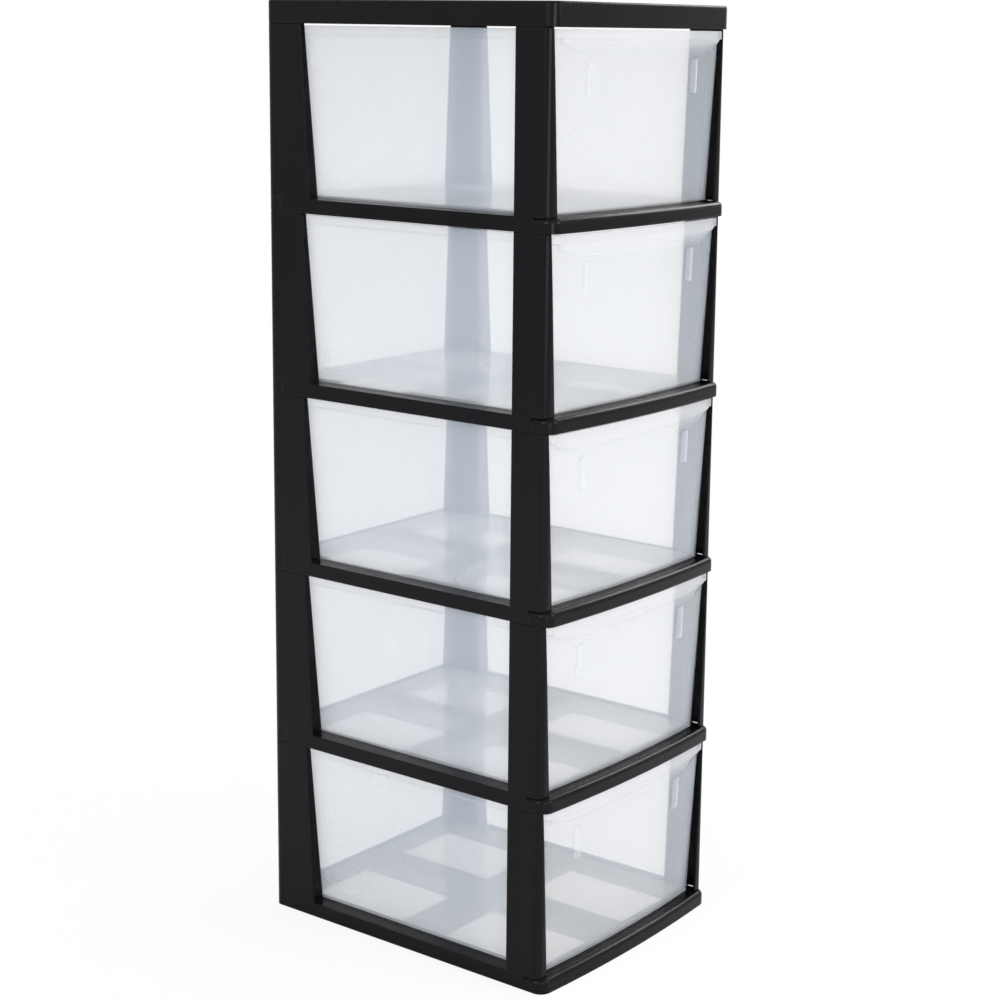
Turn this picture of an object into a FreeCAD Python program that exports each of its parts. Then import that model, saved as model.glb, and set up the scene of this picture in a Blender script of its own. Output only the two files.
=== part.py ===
"""Plastic drawer tower: five clear drawers in a black frame of stacked tiers.

Each tier is two side frames, which are a front and a rear post joined by a
side rail, and a shelf frame, which is a bowed front bar and a back bar joined
by a cross. The rails and bars of a tier stand on the posts of the tier below.
A top cover closes the stack. A clear drawer slides forward out of every tier.

+X is the tower's right as seen by someone facing its front, -Y is the front
and +Z is up. The origin is on the floor, under the middle of the four posts.
"""
import FreeCAD
import Part
import Sketcher
import os
import re

TIER_COUNT = 5

SIZES = {
    # Tower
    "tower_width": 292.0,
    "post_depth": 354.0,
    "tier_height": 185.4,
    "frame_wall": 2.5,
    # Side frames
    "rail_height": 14.5,
    "rail_width": 24.0,
    "post_corner_radius": 8.0,
    "front_post_width": 40.0,
    "rear_post_width_low": 56.5,
    "rear_post_width_high": 47.5,
    "flange_width_low": 13.5,
    "flange_width_high": 5.5,
    "seam_chamfer": 0.8,
    "tongue_height": 9.0,
    "tongue_root": 12.0,
    "tongue_inset": 2.0,
    "joint_fit": 0.3,
    "rail_web_thickness": 1.8,
    # Shelf frames
    "bar_seat": 17.0,
    "front_reach": 11.5,
    "front_radius": 1640.0,
    "front_corner_radius": 12.0,
    "bar_edge_radius": 5.0,
    "cross_width": 38.0,
    "cross_rib_thickness": 2.0,
    "hook_width": 12.0,
    "hook_length": 8.0,
    "hook_thickness": 3.0,
    "hook_level": 4.0,
    # Top cover
    "cover_height": 23.0,
    "cover_reach": 7.5,
    "cover_radius": 4260.0,
    "cover_edge_chamfer": 1.5,
    "cover_rib_height": 9.0,
    "cover_rib_thickness": 2.0,
    # Drawers
    "drawer_wall": 1.6,
    "drawer_lift": 0.3,
    "drawer_headroom": 1.8,
    "drawer_side_gap": 1.5,
    "drawer_rear_gap": 2.0,
    "drawer_front_setback": 13.6,
    "drawer_front_lean": 6.1,
    "drawer_side_lean": 7.0,
    "drawer_rear_lean": 8.0,
    "drawer_corner_radius": 6.0,
    "foot_height": 1.5,
    "foot_width": 3.5,
    "rim_height": 8.0,
    "rim_reach": 2.5,
    "lip_forward": 8.0,
    "lip_depth": 27.5,
    "lip_end_inset": 1.0,
    "pad_place": 86.0,
    "pad_width": 11.0,
    "pad_height": 33.0,
    "pad_thickness": 1.6,
    # Every cut runs past the face that it opens by this much
    "overrun": 4.0,
}

# Places of the webs under a side rail, as shares of the way from its middle to its end
RAIL_WEB_SHARES = (-1.0, -0.5, 0.0, 0.5, 1.0)

# Stations of the crescent's sections, as shares of its half width
CRESCENT_SHARES = (-1.0, -0.86, -0.62, 0.0, 0.62, 0.86, 1.0)

# The crescent's lower edge falls off from its middle with this power of the way to its end
CRESCENT_POWER = 8

POINT_TOLERANCE = 1e-4

doc = FreeCAD.newDocument("DrawerTower")
sheet = doc.addObject("Spreadsheet::Sheet", "Sizes")
for row, (alias, size) in enumerate(SIZES.items(), start=1):
    sheet.set("A%d" % row, alias)
    sheet.set("B%d" % row, str(size))
    sheet.setAlias("B%d" % row, alias)
doc.recompute()


def sized(text):
    """Return an expression whose size names point at the sheet."""
    return re.sub(r"[a-z_]+", lambda m: "Sizes." + m.group() if m.group() in SIZES else m.group(), text)


def measure(text):
    """Return the value of an expression of size names."""
    return float(sheet.evalExpression(sized(text)))


def bind(thing, prop, text):
    """Bind a property to an expression of size names."""
    thing.setExpression(prop, sized(text))


def origin_plane(body, role):
    return next(f for f in body.Origin.OriginFeatures if f.Role == role)


def pin_point(sketch, edge, end, x_text, y_text):
    """Hold an end of an edge at a place given by two expressions."""
    for kind, text in (("DistanceX", x_text), ("DistanceY", y_text)):
        number = sketch.addConstraint(Sketcher.Constraint(kind, -1, 1, edge, end, measure(text)))
        sketch.setExpression("Constraints[%d]" % number, sized(text))


def draw_outline(sketch, corners, arcs=None):
    """Draw a closed outline through the corners.

    arcs gives, for an edge that is an arc, its radius and the side it bulges
    to: 1 for the right of the way from its first corner to its second.
    """
    arcs = arcs or {}
    points = [FreeCAD.Vector(measure(x), measure(y), 0) for x, y in corners]
    first = sketch.GeometryCount
    for index, start in enumerate(points):
        end = points[(index + 1) % len(points)]
        if index in arcs:
            radius_text, side = arcs[index]
            radius = measure(radius_text)
            chord = end - start
            half = chord.Length / 2
            sagitta = radius - (radius * radius - half * half) ** 0.5
            across = FreeCAD.Vector(chord.y, -chord.x, 0).normalize()
            middle = (start + end) / 2 + across * side * sagitta
            sketch.addGeometry(Part.Arc(start, middle, end), False)
        else:
            sketch.addGeometry(Part.LineSegment(start, end), False)
    ends = []
    for index, start in enumerate(points):
        # An arc keeps its own direction, so the end that lies on the corner is looked up
        starts_here = (sketch.getPoint(first + index, 1) - start).Length < POINT_TOLERANCE
        ends.append((1, 2) if starts_here else (2, 1))
    for index, (x_text, y_text) in enumerate(corners):
        before = (index - 1) % len(corners)
        pin_point(sketch, first + index, ends[index][0], x_text, y_text)
        joint = (first + before, ends[before][1], first + index, ends[index][0])
        sketch.addConstraint(Sketcher.Constraint("Coincident", *joint))
    for index, (radius_text, side) in arcs.items():
        radius = Sketcher.Constraint("Radius", first + index, measure(radius_text))
        number = sketch.addConstraint(radius)
        sketch.setExpression("Constraints[%d]" % number, sized(radius_text))


def add_sketch(body, name, plane, outlines, lift="0"):
    """Add a sketch on an origin plane, lifted along its normal."""
    sketch = body.newObject("Sketcher::SketchObject", name)
    sketch.AttachmentSupport = [(origin_plane(body, plane), "")]
    sketch.MapMode = "FlatFace"
    sketch.AttachmentOffset.Base.z = measure(lift)
    bind(sketch, "AttachmentOffset.Base.z", lift)
    for outline in outlines:
        draw_outline(sketch, *outline)
    return sketch


def add_pad(body, name, sketch, length, symmetric=False, backward=False):
    pad = body.newObject("PartDesign::Pad", name)
    pad.Profile = sketch
    pad.Reversed = backward
    if symmetric:
        pad.SideType = "Symmetric"
    bind(pad, "Length", length)
    sketch.Visibility = False
    return pad


def add_pocket(body, name, sketch, length, symmetric=False, backward=False):
    pocket = body.newObject("PartDesign::Pocket", name)
    pocket.Profile = sketch
    pocket.Reversed = backward
    if symmetric:
        pocket.SideType = "Symmetric"
    bind(pocket, "Length", length)
    sketch.Visibility = False
    return pocket


def edges_where(feature, test):
    """Name the edges of a feature that pass a test."""
    return ["Edge%d" % n for n, edge in enumerate(feature.Shape.Edges, start=1) if test(edge)]


def lies_at(edge, level):
    """True for an edge that lies flat at a level."""
    box = edge.BoundBox
    return abs(box.ZMin - level) < POINT_TOLERANCE and abs(box.ZMax - level) < POINT_TOLERANCE


def lift_to_tier(thing, tier, above="0"):
    """Place a piece of a tier, counted from 0 at the floor."""
    bind(thing, "Placement.Base.z", "%d * tier_height + %s" % (tier, above))


def box_piece(name, low, high):
    """Return a box between two corners given as expressions."""
    box = doc.addObject("Part::Box", name)
    for prop, start, end in zip(("Length", "Width", "Height"), low, high):
        bind(box, prop, "(%s) - (%s)" % (end, start))
    for axis, start in zip("xyz", low):
        bind(box, "Placement.Base.%s" % axis, start)
    return box


def bow_setback(x, radius):
    """How far a bowed front lies behind its middle, at a distance from the middle."""
    return "(%s - sqrt((%s) ^ 2 - (%s) ^ 2))" % (radius, radius, x)


def bowed_plan(half, middle, back, bow, corner, back_corner=None, inset="0"):
    """Plan of a rectangle with a bowed front, whose corners are arcs tangent to it.

    middle is the place of the front's foremost point, and bow is its radius.
    Without a back corner radius the back's corners stay square.
    """
    half = "(%s - %s)" % (half, inset)
    middle = "(%s + %s)" % (middle, inset)
    back = "(%s - %s)" % (back, inset)
    bow = "(%s - %s)" % (bow, inset)
    corner = "(%s - %s)" % (corner, inset)
    lean = "((%s - %s) / (%s - %s))" % (half, corner, bow, corner)
    front_end = "%s * %s" % (bow, lean)
    front_end_y = "%s + %s * (1 - sqrt(1 - %s ^ 2))" % (middle, bow, lean)
    side_end_y = "%s + %s - (%s - %s) * sqrt(1 - %s ^ 2)" % (middle, bow, bow, corner, lean)
    corners = [
        ("-" + front_end, front_end_y),
        (front_end, front_end_y),
        (half, side_end_y),
        (half, back),
        ("-" + half, back),
        ("-" + half, side_end_y),
    ]
    if back_corner is None:
        return corners, {0: (bow, 1), 1: (corner, 1), 5: (corner, 1)}
    round_back = "(%s - %s)" % (back_corner, inset)
    flat = "(%s - %s)" % (half, round_back)
    corners[3:5] = [
        (half, "%s - %s" % (back, round_back)),
        (flat, back),
        ("-" + flat, back),
        ("-" + half, "%s - %s" % (back, round_back)),
    ]
    return corners, {0: (bow, 1), 1: (corner, 1), 3: (round_back, 1), 5: (round_back, 1), 7: (corner, 1)}


# Side frames

LEFT = "-tower_width / 2"
RIGHT = "tower_width / 2"
FRONT = "-post_depth / 2"
REAR = "post_depth / 2"
RAIL_LENGTH = "(post_depth - 2 * bar_seat)"


def side_frame_section():
    """Outline of a side frame in plan: a C of even wall with round corners."""
    r = "post_corner_radius"
    w = "frame_wall"
    end = LEFT + " + post_corner_radius + flange_width_low"
    corners = [
        (end, FRONT),
        (LEFT + " + " + r, FRONT),
        (LEFT, FRONT + " + " + r),
        (LEFT, REAR + " - " + r),
        (LEFT + " + " + r, REAR),
        (end, REAR),
        (end, REAR + " - " + w),
        (LEFT + " + " + r, REAR + " - " + w),
        (LEFT + " + " + w, REAR + " - " + r),
        (LEFT + " + " + w, FRONT + " + " + r),
        (LEFT + " + " + r, FRONT + " + " + w),
        (end, FRONT + " + " + w),
    ]
    inner = r + " - " + w
    arcs = {1: (r, -1), 3: (r, -1), 7: (inner, 1), 9: (inner, 1)}
    return corners, arcs


def side_frame(tier):
    """Left side frame: two posts and the rail between their feet, in one moulding."""
    body = doc.addObject("PartDesign::Body", "SideFrameLeft%d" % (tier + 1))
    plan = add_sketch(body, "PostPlan", "XY_Plane", [side_frame_section()])
    add_pad(body, "Posts", plan, "tier_height")

    # A guide wall at each window edge reaches in to the line that the drawer slides along
    window_front = FRONT + " + front_post_width"
    window_low = REAR + " - rear_post_width_low"
    window_high = REAR + " - rear_post_width_high"
    front_guide = [
        (window_front + " - frame_wall", "rail_height"),
        (window_front, "rail_height"),
        (window_front, "tier_height"),
        (window_front + " - frame_wall", "tier_height"),
    ]
    rear_guide = [
        (window_low, "rail_height"),
        (window_low + " + frame_wall", "rail_height"),
        (window_high + " + frame_wall", "tier_height"),
        (window_high, "tier_height"),
    ]
    guides = add_sketch(body, "GuideSides", "YZ_Plane", [(front_guide,), (rear_guide,)], LEFT + " + frame_wall")
    add_pad(body, "Guides", guides, "flange_width_low - frame_wall")

    # The flanges narrow upwards, so the front and back openings follow the drawer's draft
    beyond = LEFT + " + post_corner_radius + flange_width_low + overrun"
    flange_edge = [
        (LEFT + " + flange_width_low", "rail_height"),
        (LEFT + " + flange_width_high", "tier_height"),
        (LEFT + " + flange_width_high", "tier_height + overrun"),
        (beyond, "tier_height + overrun"),
        (beyond, "rail_height"),
    ]
    draft = add_sketch(body, "FlangeDraft", "XZ_Plane", [(flange_edge,)])
    add_pocket(body, "FlangeCut", draft, "post_depth + 2 * overrun", symmetric=True)

    # Side window, and the room under each post's foot for the bars of the shelf frame
    window = [
        (window_front, "rail_height"),
        (window_low, "rail_height"),
        (window_high, "tier_height"),
        (window_high, "tier_height + overrun"),
        (window_front, "tier_height + overrun"),
    ]
    front_seat = [
        (FRONT + " - overrun", "-overrun"),
        (FRONT + " + bar_seat", "-overrun"),
        (FRONT + " + bar_seat", "rail_height"),
        (FRONT + " - overrun", "rail_height"),
    ]
    rear_seat = [
        (REAR + " - bar_seat", "-overrun"),
        (REAR + " + overrun", "-overrun"),
        (REAR + " + overrun", "rail_height"),
        (REAR + " - bar_seat", "rail_height"),
    ]
    openings = add_sketch(body, "SideOpenings", "YZ_Plane", [(window,), (front_seat,), (rear_seat,)])
    add_pocket(body, "SideCut", openings, "tower_width + 2 * overrun", symmetric=True)

    # The rail is a channel that is open downwards, and its top is the drawer's ledge
    ledge_end = LEFT + " + rail_width"
    channel = [
        (LEFT + " + frame_wall", "rail_height"),
        (ledge_end, "rail_height"),
        (ledge_end, "0"),
        (ledge_end + " - frame_wall", "0"),
        (ledge_end + " - frame_wall", "rail_height - frame_wall"),
        (LEFT + " + frame_wall", "rail_height - frame_wall"),
    ]
    rail = add_sketch(body, "RailSection", "XZ_Plane", [(channel,)])
    add_pad(body, "Rail", rail, RAIL_LENGTH, symmetric=True)

    # A tongue on each post enters the rail channel of the tier above
    tongue = [
        (LEFT + " + frame_wall", "tier_height - tongue_root"),
        (LEFT + " + 2 * frame_wall", "tier_height - tongue_root"),
        (LEFT + " + 2 * frame_wall", "tier_height + tongue_height"),
        (LEFT + " + frame_wall + joint_fit", "tier_height + tongue_height"),
        (LEFT + " + frame_wall + joint_fit", "tier_height"),
        (LEFT + " + frame_wall", "tier_height"),
    ]
    front_tongue = add_sketch(body, "FrontTongueSection", "XZ_Plane", [(tongue,)],
                              "-(%s - tongue_inset)" % window_front)
    add_pad(body, "FrontTongue", front_tongue, "front_post_width - bar_seat - 2 * tongue_inset")
    rear_tongue = add_sketch(body, "RearTongueSection", "XZ_Plane", [(tongue,)],
                             "-(%s + tongue_inset)" % window_high)
    add_pad(body, "RearTongue", rear_tongue, "rear_post_width_high - bar_seat - 2 * tongue_inset", backward=True)

    # A hook at each end of the rail enters the bar in front of it
    hook = [
        (LEFT + " + (rail_width - hook_width) / 2", "hook_level"),
        (LEFT + " + (rail_width + hook_width) / 2", "hook_level"),
        (LEFT + " + (rail_width + hook_width) / 2", "hook_level + hook_thickness"),
        (LEFT + " + (rail_width - hook_width) / 2", "hook_level + hook_thickness"),
    ]
    hook_section = add_sketch(body, "HookSection", "XZ_Plane", [(hook,)])
    add_pad(body, "Hooks", hook_section, RAIL_LENGTH + " + 2 * hook_length", symmetric=True)
    core_section = add_sketch(body, "HookCoreSection", "XZ_Plane", [(hook,)])
    add_pocket(body, "HookCore", core_section, RAIL_LENGTH, symmetric=True)

    # Webs stiffen the channel, and those at its ends carry the hooks
    web = [
        (LEFT + " + frame_wall", "joint_fit"),
        (ledge_end + " - frame_wall", "joint_fit"),
        (ledge_end + " - frame_wall", "rail_height - frame_wall"),
        (LEFT + " + frame_wall", "rail_height - frame_wall"),
    ]
    for share in RAIL_WEB_SHARES:
        place = "%f * (%s - rail_web_thickness) / 2" % (share, RAIL_LENGTH)
        section = add_sketch(body, "WebSection", "XZ_Plane", [(web,)], place)
        last_web = add_pad(body, "Web", section, "rail_web_thickness", symmetric=True)

    # The outer edge of each post's top is broken, which draws the seam between the tiers
    doc.recompute()
    top = measure("tier_height")
    left = measure(LEFT)
    front = measure(FRONT)
    rear = measure(REAR)
    radius = measure("post_corner_radius")

    def on_outside(edge):
        if not lies_at(edge, top):
            return False
        middle = edge.valueAt((edge.FirstParameter + edge.LastParameter) / 2)
        if abs(middle.x - left) < POINT_TOLERANCE:
            return True
        for centre_y in (front + radius, rear - radius):
            reach = ((middle.x - left - radius) ** 2 + (middle.y - centre_y) ** 2) ** 0.5
            if abs(reach - radius) < POINT_TOLERANCE:
                return True
        return False

    chamfer = body.newObject("PartDesign::Chamfer", "SeamChamfer")
    chamfer.Base = (last_web, edges_where(last_web, on_outside))
    bind(chamfer, "Size", "seam_chamfer")
    lift_to_tier(body, tier)
    body.Label = "side_frame_left_%d" % (tier + 1)
    return body


def mirrored_frame(left_frame, tier):
    """Right side frame: the left one seen in a mirror."""
    mirror = doc.addObject("Part::Mirroring", "SideFrameRight%d" % (tier + 1))
    mirror.Source = left_frame
    mirror.Normal = FreeCAD.Vector(1, 0, 0)
    mirror.Label = "side_frame_right_%d" % (tier + 1)
    return mirror


# Shelf frames

BAR_FRONT = "(-post_depth / 2 - front_reach)"
FRONT_SEAT = "(-post_depth / 2 + bar_seat)"
REAR_SEAT = "(post_depth / 2 - bar_seat)"
CROSS_REACH_X = "(tower_width / 2 - rail_width)"


def front_bar(number):
    """Bowed bar in front of a drawer, with the corners that carry the front posts."""
    body = doc.addObject("PartDesign::Body", "FrontBar%d" % number)

    def plan(inset):
        return bowed_plan(RIGHT, BAR_FRONT, FRONT_SEAT, "front_radius", "front_corner_radius", inset=inset)

    outline = add_sketch(body, "BarPlan", "XY_Plane", [plan("0")])
    block = add_pad(body, "Block", outline, "rail_height")
    doc.recompute()
    top = measure("rail_height")
    seat = measure(FRONT_SEAT)
    rounded = body.newObject("PartDesign::Fillet", "TopFillet")
    rounded.Base = (block, edges_where(
        block, lambda edge: lies_at(edge, top) and edge.BoundBox.YMin < seat - POINT_TOLERANCE))
    bind(rounded, "Radius", "bar_edge_radius")
    doc.recompute()
    hollow = add_sketch(body, "BarHollow", "XY_Plane", [plan("frame_wall")])
    add_pocket(body, "HollowCut", hollow, "rail_height - frame_wall", backward=True)
    return body


def back_bar(number):
    """Straight bar behind a drawer, with the corners that carry the rear posts."""
    body = doc.addObject("PartDesign::Body", "BackBar%d" % number)

    def plan(inset):
        half = "(%s - %s)" % (RIGHT, inset)
        front = "(%s + %s)" % (REAR_SEAT, inset)
        back = "(%s - %s)" % (REAR, inset)
        radius = "(post_corner_radius - %s)" % inset
        flat = "(%s - %s)" % (half, radius)
        side_end = "(%s - %s)" % (back, radius)
        corners = [
            ("-" + half, front),
            (half, front),
            (half, side_end),
            (flat, back),
            ("-" + flat, back),
            ("-" + half, side_end),
        ]
        return corners, {2: (radius, 1), 4: (radius, 1)}

    outline = add_sketch(body, "BarPlan", "XY_Plane", [plan("0")])
    add_pad(body, "Block", outline, "rail_height")
    hollow = add_sketch(body, "BarHollow", "XY_Plane", [plan("frame_wall")])
    add_pocket(body, "HollowCut", hollow, "rail_height - frame_wall", backward=True)
    return body


def rib_cross(name, reach_x, reach_y, thickness, low, high):
    """Two upright ribs that cross in the middle of the tower."""
    half = thickness + " / 2"
    along = box_piece(name + "Along", ("-" + half, "-" + reach_y, low), (half, reach_y, high))
    across = box_piece(name + "Across", ("-" + reach_x, "-" + half, low), (reach_x, half, high))
    return [along, across]


def cross(number):
    """Cross between the bars, as two channels that are open downwards."""
    body = doc.addObject("PartDesign::Body", "Cross%d" % number)
    half = "cross_width / 2"

    def plus(inset):
        arm = "(%s - %s)" % (half, inset)
        end = "(%s - %s)" % (CROSS_REACH_X, inset)
        far = "(%s - %s)" % (REAR_SEAT, inset)
        return [
            ("-" + arm, "-" + far),
            (arm, "-" + far),
            (arm, "-" + arm),
            (end, "-" + arm),
            (end, arm),
            (arm, arm),
            (arm, far),
            ("-" + arm, far),
            ("-" + arm, arm),
            ("-" + end, arm),
            ("-" + end, "-" + arm),
            ("-" + arm, "-" + arm),
        ]

    outline = add_sketch(body, "CrossPlan", "XY_Plane", [(plus("0"),)])
    add_pad(body, "CrossBlock", outline, "rail_height")
    hollow = add_sketch(body, "CrossHollow", "XY_Plane", [(plus("frame_wall"),)])
    add_pocket(body, "CrossCut", hollow, "rail_height - frame_wall", backward=True)
    return body


def hook_slot(name, side, bar_side):
    """Slot in a bar's inner wall, for a side frame's hook."""
    middle = "%d * (tower_width / 2 - rail_width / 2)" % side
    seat = "%d * (post_depth / 2 - bar_seat)" % bar_side
    low = (
        middle + " - hook_width / 2 - joint_fit",
        seat + " - frame_wall - joint_fit",
        "hook_level - joint_fit",
    )
    high = (
        middle + " + hook_width / 2 + joint_fit",
        seat + " + frame_wall + joint_fit",
        "hook_level + hook_thickness + joint_fit",
    )
    return box_piece(name, low, high)


def shelf_frame(tier):
    """Bowed front bar, back bar and cross of a tier, in one moulding."""
    number = tier + 1
    moulding = doc.addObject("Part::MultiFuse", "ShelfMoulding%d" % number)
    ribs = rib_cross("CrossRib", CROSS_REACH_X, REAR_SEAT, "cross_rib_thickness", "0",
                     "(rail_height - frame_wall)")
    moulding.Shapes = [front_bar(number), back_bar(number), cross(number)] + ribs
    slots = doc.addObject("Part::MultiFuse", "HookSlots%d" % number)
    slots.Shapes = [
        hook_slot("HookSlot", side, bar_side) for side in (-1, 1) for bar_side in (-1, 1)
    ]
    shelf = doc.addObject("Part::Cut", "ShelfFrame%d" % number)
    shelf.Base = moulding
    shelf.Tool = slots
    lift_to_tier(shelf, tier)
    shelf.Label = "shelf_frame_%d" % number
    return shelf


# Top cover


def top_cover():
    """Shell that caps the posts of the top tier."""
    body = doc.addObject("PartDesign::Body", "CoverShell")

    def plan(inset):
        return bowed_plan(RIGHT, "(-post_depth / 2 - cover_reach)", REAR, "cover_radius",
                          "front_corner_radius", "post_corner_radius", inset)

    outline = add_sketch(body, "CoverPlan", "XY_Plane", [plan("0")])
    block = add_pad(body, "Block", outline, "cover_height")
    doc.recompute()
    top = measure("cover_height")
    edge_break = body.newObject("PartDesign::Chamfer", "EdgeBreak")
    edge_break.Base = (block, edges_where(block, lambda edge: lies_at(edge, top)))
    bind(edge_break, "Size", "cover_edge_chamfer")
    doc.recompute()
    hollow = add_sketch(body, "CoverHollow", "XY_Plane", [plan("frame_wall")])
    add_pocket(body, "HollowCut", hollow, "cover_height - frame_wall", backward=True)

    under = "(cover_height - frame_wall)"
    ribs = rib_cross("CoverRib", "(tower_width / 2 - frame_wall)", "(post_depth / 2 - frame_wall)",
                     "cover_rib_thickness", under + " - cover_rib_height", under)
    cover = doc.addObject("Part::MultiFuse", "TopCover")
    cover.Shapes = [body] + ribs
    bind(cover, "Placement.Base.z", "%d * tier_height" % TIER_COUNT)
    cover.Label = "top_cover"
    return cover


# Drawers, each drawn from its own foot upwards

DRAWER_HEIGHT = "(tier_height - rail_height - drawer_lift - drawer_headroom)"
RIM_HALF = "(tower_width / 2 - flange_width_high - drawer_side_gap)"
RIM_BACK = "(post_depth / 2 - frame_wall - drawer_rear_gap)"
RIM_CORNER = "(drawer_corner_radius + rim_reach)"
LIP_FRONT = "(-post_depth / 2 - lip_forward)"
DRAWER_HALF_HIGH = "(%s - rim_reach)" % RIM_HALF
DRAWER_HALF_LOW = "(%s - drawer_side_lean)" % DRAWER_HALF_HIGH
DRAWER_FRONT_LOW = "(-post_depth / 2 - front_reach + drawer_front_setback)"
DRAWER_FRONT_HIGH = "(%s - drawer_front_lean)" % DRAWER_FRONT_LOW
DRAWER_BACK_HIGH = "(%s - rim_reach)" % RIM_BACK
DRAWER_BACK_LOW = "(%s - drawer_rear_lean)" % DRAWER_BACK_HIGH
CRESCENT_HALF = "(%s - drawer_corner_radius - lip_end_inset)" % DRAWER_HALF_HIGH


def tray_block(name, inset, floor):
    """Tapered block with a bowed front: a drawer's outside, or its hollow."""
    body = doc.addObject("PartDesign::Body", name)
    low = bowed_plan(DRAWER_HALF_LOW, DRAWER_FRONT_LOW, DRAWER_BACK_LOW, "front_radius",
                     "drawer_corner_radius", "drawer_corner_radius", inset)
    high = bowed_plan(DRAWER_HALF_HIGH, DRAWER_FRONT_HIGH, DRAWER_BACK_HIGH, "front_radius",
                      "drawer_corner_radius", "drawer_corner_radius", inset)
    loft = body.newObject("PartDesign::AdditiveLoft", "Taper")
    loft.Profile = add_sketch(body, "LowPlan", "XY_Plane", [low], floor)
    loft.Sections = [add_sketch(body, "HighPlan", "XY_Plane", [high], DRAWER_HEIGHT)]
    loft.Ruled = True
    return body


def rim_band(name):
    """Band round the top of a drawer, which stands out further at the front."""
    body = doc.addObject("PartDesign::Body", name)
    outline = bowed_plan(RIM_HALF, LIP_FRONT, RIM_BACK, "front_radius", RIM_CORNER, RIM_CORNER)
    plan = add_sketch(body, "RimPlan", "XY_Plane", [outline], DRAWER_HEIGHT + " - rim_height")
    add_pad(body, "Band", plan, "rim_height")
    return body


def crescent_depth(x):
    """How far the crescent hangs below the drawer's top, at a distance from its middle."""
    fall = "((%s) / %s) ^ %d" % (x, RIM_HALF, CRESCENT_POWER)
    return "(rim_height + (lip_depth - rim_height) * (1 - %s))" % fall


def crescent(name, inset, half):
    """Swelling under the rim, from upright sections that deepen towards its middle.

    With the drawer's wall as inset it is the hollow inside the lip.
    """
    body = doc.addObject("PartDesign::Body", name)
    sections = []
    for share in CRESCENT_SHARES:
        place = "%f * %s" % (share, half)
        setback = bow_setback(place, "front_radius")
        lip = "(%s + %s + %s)" % (LIP_FRONT, setback, inset)
        back = "(%s + %s + drawer_wall + %s)" % (DRAWER_FRONT_HIGH, setback, inset)
        top = "(%s + %s)" % (DRAWER_HEIGHT, inset)
        edge = "(%s - rim_height + %s)" % (DRAWER_HEIGHT, inset)
        root = "(%s - %s + %s)" % (DRAWER_HEIGHT, crescent_depth(place), inset)
        profile = [(back, root), (back, top), (lip, top), (lip, edge)]
        sections.append(add_sketch(body, "Section", "YZ_Plane", [(profile,)], place))
    loft = body.newObject("PartDesign::AdditiveLoft", "Crescent")
    loft.Profile = sections[0]
    loft.Sections = sections[1:]
    return body


def front_pad(name, side):
    """Short raised pad on the drawer's front, below the lip."""
    body = doc.addObject("PartDesign::Body", name)
    top = "(%s - %s)" % (DRAWER_HEIGHT, crescent_depth("pad_place"))
    low = "(%s - pad_height)" % top

    def panel(level):
        lean = "drawer_front_lean * %s / %s" % (level, DRAWER_HEIGHT)
        return "(%s - %s + %s)" % (DRAWER_FRONT_LOW, lean, bow_setback("pad_place", "front_radius"))

    profile = [
        (panel(low) + " - pad_thickness", low),
        (panel(low) + " + drawer_wall / 2", low),
        (panel(top) + " + drawer_wall / 2", top),
        (panel(top) + " - pad_thickness", top),
    ]
    section = add_sketch(body, "PadSection", "YZ_Plane", [(profile,)], "%d * pad_place" % side)
    add_pad(body, "Pad", section, "pad_width", symmetric=True)
    return body


def foot_strip(name, side):
    """Low runner under a side of the drawer, which slides on the ledge."""
    inner = "%s - foot_width - foot_height" % DRAWER_HALF_LOW
    outer = "%s - foot_height" % DRAWER_HALF_LOW
    ends = (inner, outer) if side > 0 else ("-(%s)" % outer, "-(%s)" % inner)
    low = (ends[0], DRAWER_FRONT_LOW + " + 2 * drawer_corner_radius", "0")
    high = (ends[1], DRAWER_BACK_LOW + " - drawer_corner_radius", "foot_height + drawer_wall / 2")
    return box_piece(name, low, high)


def drawer(tier):
    """Clear tray with a rim, a crescent lip, two pads and two runners."""
    number = tier + 1
    outside = doc.addObject("Part::MultiFuse", "DrawerOutside%d" % number)
    outside.Shapes = [
        tray_block("TrayOutside", "0", "foot_height"),
        rim_band("Rim"),
        crescent("LipOutside", "0", CRESCENT_HALF),
    ]
    hollow = doc.addObject("Part::MultiFuse", "DrawerHollow%d" % number)
    hollow.Shapes = [
        tray_block("TrayHollow", "drawer_wall", "foot_height + drawer_wall"),
        crescent("LipHollow", "drawer_wall", "(%s - drawer_wall)" % CRESCENT_HALF),
    ]
    shell = doc.addObject("Part::Cut", "DrawerShell%d" % number)
    shell.Base = outside
    shell.Tool = hollow
    whole = doc.addObject("Part::MultiFuse", "Drawer%d" % number)
    whole.Shapes = [
        shell,
        front_pad("PadLeft", -1),
        front_pad("PadRight", 1),
        foot_strip("FootLeft", -1),
        foot_strip("FootRight", 1),
    ]
    lift_to_tier(whole, tier, "rail_height + drawer_lift")
    whole.Label = "drawer_%d" % number
    return whole


pieces = []
for tier in range(TIER_COUNT):
    left_frame = side_frame(tier)
    pieces.append(left_frame)
    pieces.append(mirrored_frame(left_frame, tier))
    pieces.append(shelf_frame(tier))
    pieces.append(drawer(tier))
pieces.append(top_cover())
doc.recompute()

for thing in doc.Objects:
    if "Invalid" in thing.State or "Error" in thing.State:
        raise RuntimeError("%s (%s) failed: %s" % (thing.Name, thing.Label, thing.State))
for piece in pieces:
    if piece.Shape.isNull() or not piece.Shape.isValid():
        raise RuntimeError("%s has no valid shape" % piece.Label)
    if len(piece.Shape.Solids) != 1:
        raise RuntimeError("%s has %d solids" % (piece.Label, len(piece.Shape.Solids)))

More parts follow.
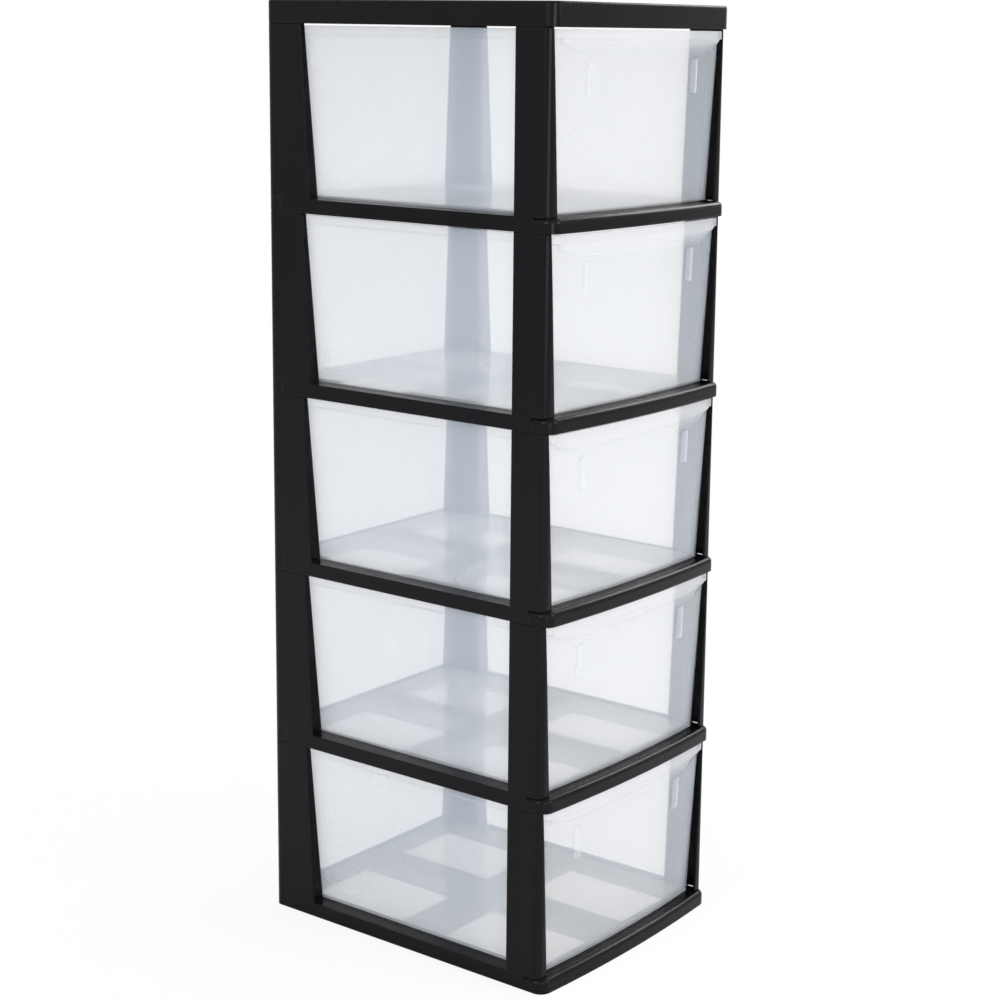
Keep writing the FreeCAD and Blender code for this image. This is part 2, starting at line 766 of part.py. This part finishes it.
os.makedirs("parts", exist_ok=True)
for piece in pieces:
    piece.Shape.exportStep("parts/%s.step" % piece.Label)
    print("%-20s %10.0f mm3 %4d faces" % (piece.Label, piece.Shape.Volume, len(piece.Shape.Faces)))
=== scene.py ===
# %% [markdown]
# # Clear drawers in a black tower
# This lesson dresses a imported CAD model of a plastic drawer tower. The solids, with
# their drafted posts, bowed bars and tapered drawers, come from the frame. What
# Blender adds is what moulded plastic looks like: edges that are never quite sharp,
# a soft shine on black, and walls that you can see through, though not quite clearly.

# %% Load the frame
import math

import bpy
from mathutils import Matrix, Vector


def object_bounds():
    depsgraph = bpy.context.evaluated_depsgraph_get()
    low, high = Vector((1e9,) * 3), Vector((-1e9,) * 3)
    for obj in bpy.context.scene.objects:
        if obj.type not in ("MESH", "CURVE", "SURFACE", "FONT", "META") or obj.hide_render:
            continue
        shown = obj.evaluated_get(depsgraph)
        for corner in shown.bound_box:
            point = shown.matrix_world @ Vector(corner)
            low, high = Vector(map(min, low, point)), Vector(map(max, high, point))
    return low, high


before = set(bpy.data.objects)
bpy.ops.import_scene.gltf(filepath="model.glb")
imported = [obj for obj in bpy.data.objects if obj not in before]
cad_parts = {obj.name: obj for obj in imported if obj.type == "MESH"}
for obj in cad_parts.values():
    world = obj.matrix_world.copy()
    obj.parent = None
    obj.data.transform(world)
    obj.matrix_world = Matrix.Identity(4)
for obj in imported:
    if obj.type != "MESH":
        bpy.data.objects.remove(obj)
cad_low, cad_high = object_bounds()
print("frame box in metres:", [round(v, 4) for v in (*cad_low, *cad_high)])

# %% [markdown]
# The tiers all look alike, so the nodes are sorted by what they are made of. The
# names come from the frame and carry the tier's number at their end.

# %% Sort the nodes by material
MILLIMETRE = 0.001
drawer_names = sorted(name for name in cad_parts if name.startswith("drawer_"))
frame_names = sorted(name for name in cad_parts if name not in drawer_names)
print(len(frame_names), "black pieces and", len(drawer_names), "clear drawers")

# %% [markdown]
# Colours are written as sRGB hex, the way a paint chart or a picture gives them.
# Shaders want linear light, so one function does the turning. The other functions
# add nodes, and each takes plain values or links from earlier nodes.

# %% Colour and node helpers
PURE_WHITE = "#ffffff"


def linear(hex_colour):
    """Turn an sRGB hex colour into linear red, green, blue and a full alpha."""
    channels = [int(hex_colour[i:i + 2], 16) / 255 for i in (1, 3, 5)]
    light = [c / 12.92 if c <= 0.04045 else ((c + 0.055) / 1.055) ** 2.4 for c in channels]
    return (*light, 1.0)


def add_node(tree, kind, inputs=None, **settings):
    """Add a node with its settings, and give its inputs plain values or links."""
    node = tree.nodes.new(kind)
    for name, value in settings.items():
        setattr(node, name, value)
    for name, value in (inputs or {}).items():
        if isinstance(value, bpy.types.NodeSocket):
            tree.links.new(value, node.inputs[name])
        else:
            node.inputs[name].default_value = value
    return node


def reckon(tree, operation, *values):
    """Add a Math node and return its result."""
    return add_node(tree, "ShaderNodeMath", dict(enumerate(values)), operation=operation).outputs["Value"]


def stretch(tree, value, from_low, from_high, to_low=0.0, to_high=1.0):
    """Map a value from one range to another and stop at the ends."""
    return add_node(tree, "ShaderNodeMapRange", {
        "Value": value,
        "From Min": from_low,
        "From Max": from_high,
        "To Min": to_low,
        "To Max": to_high,
    }).outputs["Result"]


def mix(tree, share, first, second, data_type="FLOAT"):
    """Mix two numbers, or two colours, by a share of the second."""
    inputs = {"Factor": share, "A": first, "B": second}
    return add_node(tree, "ShaderNodeMix", inputs, data_type=data_type).outputs["Result"]


def mix_shaders(tree, share, first, second):
    """Mix two shaders by a share of the second."""
    return add_node(tree, "ShaderNodeMixShader", {"Fac": share, 1: first, 2: second}).outputs["Shader"]


def noise(tree, where, size, detail):
    """Give soft noise whose spots are about this size."""
    inputs = {"Vector": where, "Scale": 1 / size, "Detail": detail}
    return add_node(tree, "ShaderNodeTexNoise", inputs).outputs["Fac"]


def new_material(name):
    """Make an empty node material and return it with its tree."""
    material = bpy.data.materials.new(name)
    material.use_nodes = True
    material.node_tree.nodes.clear()
    return material, material.node_tree


# %% [markdown]
# The frame is black polypropylene, moulded in a steel tool. Such a tool is polished
# by hand, so the shine is soft and changes a little from place to place, and along
# the flow of the melt it leaves faint upright bands. The plastic is filled with
# carbon black and a little waxy, so it mirrors less than its refractive index says:
# the specular level is lowered for that. The grain of the surface is finer than a
# pixel here, so it is drawn at 1.2 mm, coarse enough to break up the highlights.

# %% Black moulded polypropylene
PLASTIC_IOR = 1.49
BLACK = "#070608"
BLACK_WORN = "#0e0d10"
BLACK_SHINE = 0.12
SMOOTHEST_BLACK = 0.16
ROUGHEST_BLACK = 0.26
GRAIN_SIZE = 1.2 * MILLIMETRE
GRAIN_HEIGHT = 0.006 * MILLIMETRE
GRAIN_STRENGTH = 0.4
FLOW_SIZE = 60 * MILLIMETRE
FLOW_STRETCH = 0.25
SOFT_EDGE = 2.5 * MILLIMETRE

black_plastic, tree = new_material("black_moulded_polypropylene")
place = add_node(tree, "ShaderNodeTexCoord")
drawn = add_node(tree, "ShaderNodeMapping", {
    "Vector": place.outputs["Object"],
    "Scale": (1, 1, FLOW_STRETCH),
})
flow = noise(tree, drawn.outputs["Vector"], FLOW_SIZE, 3.0)
grain = noise(tree, place.outputs["Object"], GRAIN_SIZE, 2.0)
soft_edge = add_node(tree, "ShaderNodeBevel", {"Radius": SOFT_EDGE}, samples=4)
bump = add_node(tree, "ShaderNodeBump", {
    "Height": grain,
    "Strength": GRAIN_STRENGTH,
    "Distance": GRAIN_HEIGHT,
    "Normal": soft_edge.outputs["Normal"],
})
surface = add_node(tree, "ShaderNodeBsdfPrincipled", {
    "Base Color": mix(tree, flow, linear(BLACK), linear(BLACK_WORN), "RGBA"),
    "Roughness": stretch(tree, flow, 0.3, 0.7, SMOOTHEST_BLACK, ROUGHEST_BLACK),
    "IOR": PLASTIC_IOR,
    "Specular IOR Level": BLACK_SHINE,
    "Normal": bump.outputs["Normal"],
})
add_node(tree, "ShaderNodeOutputMaterial", {"Surface": surface.outputs["BSDF"]})
print("black plastic made")

# %% [markdown]
# The drawers are clear polypropylene, which is never as clear as glass. Tiny
# crystals in it scatter a little light, blue more than red, so a white wall seen
# through it stays white and a black post behind it turns pale blue-grey. A
# transparent shader with a faint warm tint lets most of the light straight through,
# and a milky shader mixed into it stands for what is scattered. Half of that milk is
# a translucent shader, which shows the light that falls on the wall from behind.
#
# Each wall is a real solid with two faces, so the shares below are per face. The walls behind the front panel
# get a larger share than the panel: the extra is painted shade, which greys the side and back walls where
# less light falls than on the front. The lip and the pads, which stand out in front of that panel, are thick
# and paler, so the tree works out how far each point lies ahead of the bowed and leaning panel. The floor,
# where the tool isn't polished, is cloudier too. A face that is seen at a slant mirrors more.

# %% Clear moulded polypropylene
MILK = "#e8f2ff"
THICK_MILK = "#f2f4f9"
PASSED = "#fffdfa"
FRONT_MILK = 0.2
# The side share's extra over the front share is painted shade: it greys the side and back walls.
SIDE_MILK_AND_SHADE = 0.28
LIP_MILK = 0.5
FLOOR_MILK = 0.44
EDGE_MILK = 0.7
MILK_ROUGHNESS = 0.18
LIT_FROM_BEHIND = 0.5
CLOUDINESS = 0.04
SLANT_GLOSS = 0.7
SLANT_POWER = 4.0
GLOSS_ROUGHNESS = 0.06
FRONT_PANEL_END = -168 * MILLIMETRE
SIDE_START = -160 * MILLIMETRE
TIER_HEIGHT = 185.4 * MILLIMETRE
PANEL_FOOT = -174.4 * MILLIMETRE
PANEL_LEAN = 0.0361
PANEL_BOW = 1 / (2 * 1640 * MILLIMETRE)
LIP_BEGINS = 0.3 * MILLIMETRE
LIP_THICKENS = 3.2 * MILLIMETRE


def stands_out(tree, x, y, z):
    """Rise from 0 to 1 where a point lies in front of the bowed, leaning front panel."""
    height = reckon(tree, "MODULO", z, TIER_HEIGHT)
    leaning = reckon(tree, "MULTIPLY_ADD", height, -PANEL_LEAN, PANEL_FOOT)
    panel = reckon(tree, "MULTIPLY_ADD", reckon(tree, "POWER", x, 2.0), PANEL_BOW, leaning)
    return stretch(tree, reckon(tree, "SUBTRACT", panel, y), LIP_BEGINS, LIP_THICKENS)


def clear_moulding(name, front_milk, side_milk_and_shade, lip_milk, floor_milk):
    """Make clear polypropylene that scatters these shares of the light at each face."""
    material, tree = new_material(name)
    place = add_node(tree, "ShaderNodeTexCoord")
    point = add_node(tree, "ShaderNodeSeparateXYZ", {"Vector": place.outputs["Object"]}).outputs
    upright = add_node(tree, "ShaderNodeSeparateXYZ", {"Vector": place.outputs["Normal"]}).outputs["Z"]

    # Painted shade: behind the front panel the share rises to the side share, which greys the side and back
    # walls.
    wall_milk_and_shade = stretch(tree, point["Y"], FRONT_PANEL_END, SIDE_START, front_milk, side_milk_and_shade)
    lying = stretch(tree, reckon(tree, "ABSOLUTE", upright), 0.5, 0.9)
    lip = stands_out(tree, point["X"], point["Y"], point["Z"])
    share = mix(tree, lip, mix(tree, lying, wall_milk_and_shade, floor_milk), lip_milk)
    haze = noise(tree, place.outputs["Object"], FLOW_SIZE, 2.0)
    cloud = stretch(tree, haze, 0.2, 0.8, 1 - CLOUDINESS, 1 + CLOUDINESS)
    clouded = reckon(tree, "MULTIPLY", share, cloud)

    thick = reckon(tree, "MAXIMUM", lip, lying)
    tint = mix(tree, thick, linear(MILK), linear(THICK_MILK), "RGBA")
    milky = add_node(tree, "ShaderNodeBsdfPrincipled", {
        "Base Color": tint,
        "Roughness": MILK_ROUGHNESS,
        "IOR": PLASTIC_IOR,
    }).outputs["BSDF"]
    lit_behind = add_node(tree, "ShaderNodeBsdfTranslucent", {"Color": tint}).outputs["BSDF"]
    milk = mix_shaders(tree, LIT_FROM_BEHIND, milky, lit_behind)
    open_way = add_node(tree, "ShaderNodeBsdfTransparent", {"Color": linear(PASSED)}).outputs["BSDF"]
    wall = mix_shaders(tree, clouded, open_way, milk)

    facing = add_node(tree, "ShaderNodeLayerWeight", {"Blend": 0.5}).outputs["Facing"]
    mirrored = reckon(tree, "MULTIPLY", reckon(tree, "POWER", facing, SLANT_POWER), SLANT_GLOSS)
    gloss = add_node(tree, "ShaderNodeBsdfGlossy", {
        "Color": linear(PURE_WHITE),
        "Roughness": GLOSS_ROUGHNESS,
    }).outputs["BSDF"]
    add_node(tree, "ShaderNodeOutputMaterial", {"Surface": mix_shaders(tree, mirrored, wall, gloss)})
    return material


clear_plastic = clear_moulding("clear_moulded_polypropylene", FRONT_MILK, SIDE_MILK_AND_SHADE, LIP_MILK, FLOOR_MILK)
clear_edges = clear_moulding("clear_polypropylene_edges", EDGE_MILK, EDGE_MILK, EDGE_MILK, EDGE_MILK)
print("clear plastic made, milk share per face", FRONT_MILK, SIDE_MILK_AND_SHADE, "and at edges", EDGE_MILK)

# %% [markdown]
# No moulded edge is sharp: the tool's cutter leaves a radius. A narrow bevel on each
# solid catches the light along its edges, and weighted normals keep the flat faces
# flat beside it. A clear wall also pipes light to its edges, which then shine paler
# than its faces, so on the drawers the bevel's faces get a milkier material.

# %% Round the edges and hand out the materials
BLACK_EDGE = 0.45 * MILLIMETRE
CLEAR_EDGE = 0.5 * MILLIMETRE
SHARP_ANGLE = math.radians(35)


def dress(name, material, edge_width, edge_material=None):
    """Give a CAD node its material, soft edges and smooth shading."""
    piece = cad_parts[name]
    for slot in piece.material_slots:
        slot.material = material
    for face in piece.data.polygons:
        face.use_smooth = True
    bevel = piece.modifiers.new("soft_edges", "BEVEL")
    bevel.width = edge_width
    bevel.segments = 2
    bevel.limit_method = "ANGLE"
    bevel.angle_limit = SHARP_ANGLE
    bevel.use_clamp_overlap = False
    if edge_material:
        piece.data.materials.append(edge_material)
        bevel.material = len(piece.material_slots) - 1
    normals = piece.modifiers.new("flat_faces", "WEIGHTED_NORMAL")
    normals.keep_sharp = True


for name in frame_names:
    dress(name, black_plastic, BLACK_EDGE)
for name in drawer_names:
    dress(name, clear_plastic, CLEAR_EDGE, clear_edges)
print("dressed", len(frame_names) + len(drawer_names), "pieces")

# %% [markdown]
# The photograph shows the tower on pure white. For camera rays the floor glows, all
# the way to white at a distance, and a little less near the tower, where the faint
# shadow of its foot stays. The world is white to the camera and dimmer as a lamp,
# so the light on the object stays at a plain level.

# %% Floor and world
FLOOR_SIZE = 40.0
FLOOR_GREY = "#e4e4e6"
NEAR_GLOW = 0.85
NEAR_DISTANCE = 0.3
FAR_DISTANCE = 0.9
WORLD_LIGHT = 0.92

floor_material, tree = new_material("white_floor")
matt = add_node(tree, "ShaderNodeBsdfDiffuse", {"Color": linear(FLOOR_GREY)})
glow = add_node(tree, "ShaderNodeEmission", {"Color": linear(PURE_WHITE), "Strength": 1.0})
place = add_node(tree, "ShaderNodeTexCoord")
distance = add_node(tree, "ShaderNodeVectorMath", {0: place.outputs["Object"]}, operation="LENGTH")
whiteness = stretch(tree, distance.outputs["Value"], NEAR_DISTANCE, FAR_DISTANCE, NEAR_GLOW, 1.0)
ray = add_node(tree, "ShaderNodeLightPath")
seen = reckon(tree, "MULTIPLY", ray.outputs["Is Camera Ray"], whiteness)
floor_look = mix_shaders(tree, seen, matt.outputs["BSDF"], glow.outputs["Emission"])
add_node(tree, "ShaderNodeOutputMaterial", {"Surface": floor_look})

bpy.ops.mesh.primitive_plane_add(size=FLOOR_SIZE, location=(0, 0, cad_low.z))
floor = bpy.context.active_object
floor.name = "floor"
floor.data.materials.append(floor_material)

scene = bpy.context.scene
world = bpy.data.worlds.new("studio")
scene.world = world
world.use_nodes = True
tree = world.node_tree
tree.nodes.clear()
ray = add_node(tree, "ShaderNodeLightPath")
lamp = add_node(tree, "ShaderNodeBackground", {"Color": linear(PURE_WHITE), "Strength": WORLD_LIGHT})
white = add_node(tree, "ShaderNodeBackground", {"Color": linear(PURE_WHITE), "Strength": 1.0})
sky = mix_shaders(tree, ray.outputs["Is Camera Ray"], lamp.outputs["Background"], white.outputs["Background"])
add_node(tree, "ShaderNodeOutputWorld", {"Surface": sky})

# %% [markdown]
# Two large soft boxes light the tower's left side and its front. A narrow one stands
# low beside the camera: its light comes back from the round corners of the posts as
# pale upright streaks. A last one, behind on the right, draws the line of light
# along the rounded top of each front bar. The numbers are the lamp's place and its
# width and height in metres, and its power in watts.

# %% Soft boxes
SOFT_BOXES = (
    ("left_soft_box", (-3.0, 0.3, 1.8), 1.5, 1.5, 40),
    ("front_soft_box", (0.9, -3.0, 1.8), 1.5, 1.5, 50),
    ("corner_strip", (-2.0, -2.6, 0.9), 0.35, 1.4, 26),
    ("right_soft_box", (2.6, -0.5, 2.3), 1.0, 1.0, 30),
)

middle = (cad_low + cad_high) / 2
for name, where, width, height, power in SOFT_BOXES:
    light = bpy.data.lights.new(name, "AREA")
    light.shape = "RECTANGLE"
    light.size = width
    light.size_y = height
    light.energy = power
    box = bpy.data.objects.new(name, light)
    scene.collection.objects.link(box)
    box.location = where
    box.rotation_euler = (middle - Vector(where)).to_track_quat("-Z", "Y").to_euler()
print("lamps hung:", len(SOFT_BOXES))

# %% [markdown]
# The camera was fitted to the corners and edges that show in the photograph. It
# stands a little below the tower's top, 2 m away, and looks slightly down. The fit
# gave its focal length and the point it aims at in pixels of a picture 1000 wide.

# %% Camera
CAMERA_PLACE = Vector((-1.6691, -1.3225, 0.9259))
CAMERA_YAW = 0.9298
CAMERA_PITCH = 0.1914
CAMERA_ROLL = 0.0143
FOCAL_PIXELS = 2099.7
CENTRE_X_PIXELS = 553.5
CENTRE_Y_PIXELS = 435.0
IMAGE_PIXELS = 1000.0
SENSOR_WIDTH = 36.0

look = Vector((math.sin(CAMERA_YAW) * math.cos(CAMERA_PITCH),
               math.cos(CAMERA_YAW) * math.cos(CAMERA_PITCH), -math.sin(CAMERA_PITCH)))
level = Vector((math.cos(CAMERA_YAW), -math.sin(CAMERA_YAW), 0))
upright = level.cross(look)
right = math.cos(CAMERA_ROLL) * level + math.sin(CAMERA_ROLL) * upright
above = math.cos(CAMERA_ROLL) * upright - math.sin(CAMERA_ROLL) * level

camera_data = bpy.data.cameras.new("camera")
camera_data.sensor_width = SENSOR_WIDTH
camera_data.lens = SENSOR_WIDTH * FOCAL_PIXELS / IMAGE_PIXELS
camera_data.shift_x = 0.5 - CENTRE_X_PIXELS / IMAGE_PIXELS
camera_data.shift_y = CENTRE_Y_PIXELS / IMAGE_PIXELS - 0.5
camera = bpy.data.objects.new("camera", camera_data)
scene.collection.objects.link(camera)
turn = Matrix((right, above, -look)).transposed().to_4x4()
camera.matrix_world = Matrix.Translation(CAMERA_PLACE) @ turn
scene.camera = camera
print("lens", round(camera_data.lens, 1), "mm")

# %% [markdown]
# A line of sight crosses many clear walls before it reaches the back. Cycles stops
# after 8 by default and then shows black, so it may cross more.

# %% Settings and the end
CLEAR_FACES_CROSSED = 40

scene.cycles.transparent_max_bounces = CLEAR_FACES_CROSSED
scene.view_settings.view_transform = "Standard"
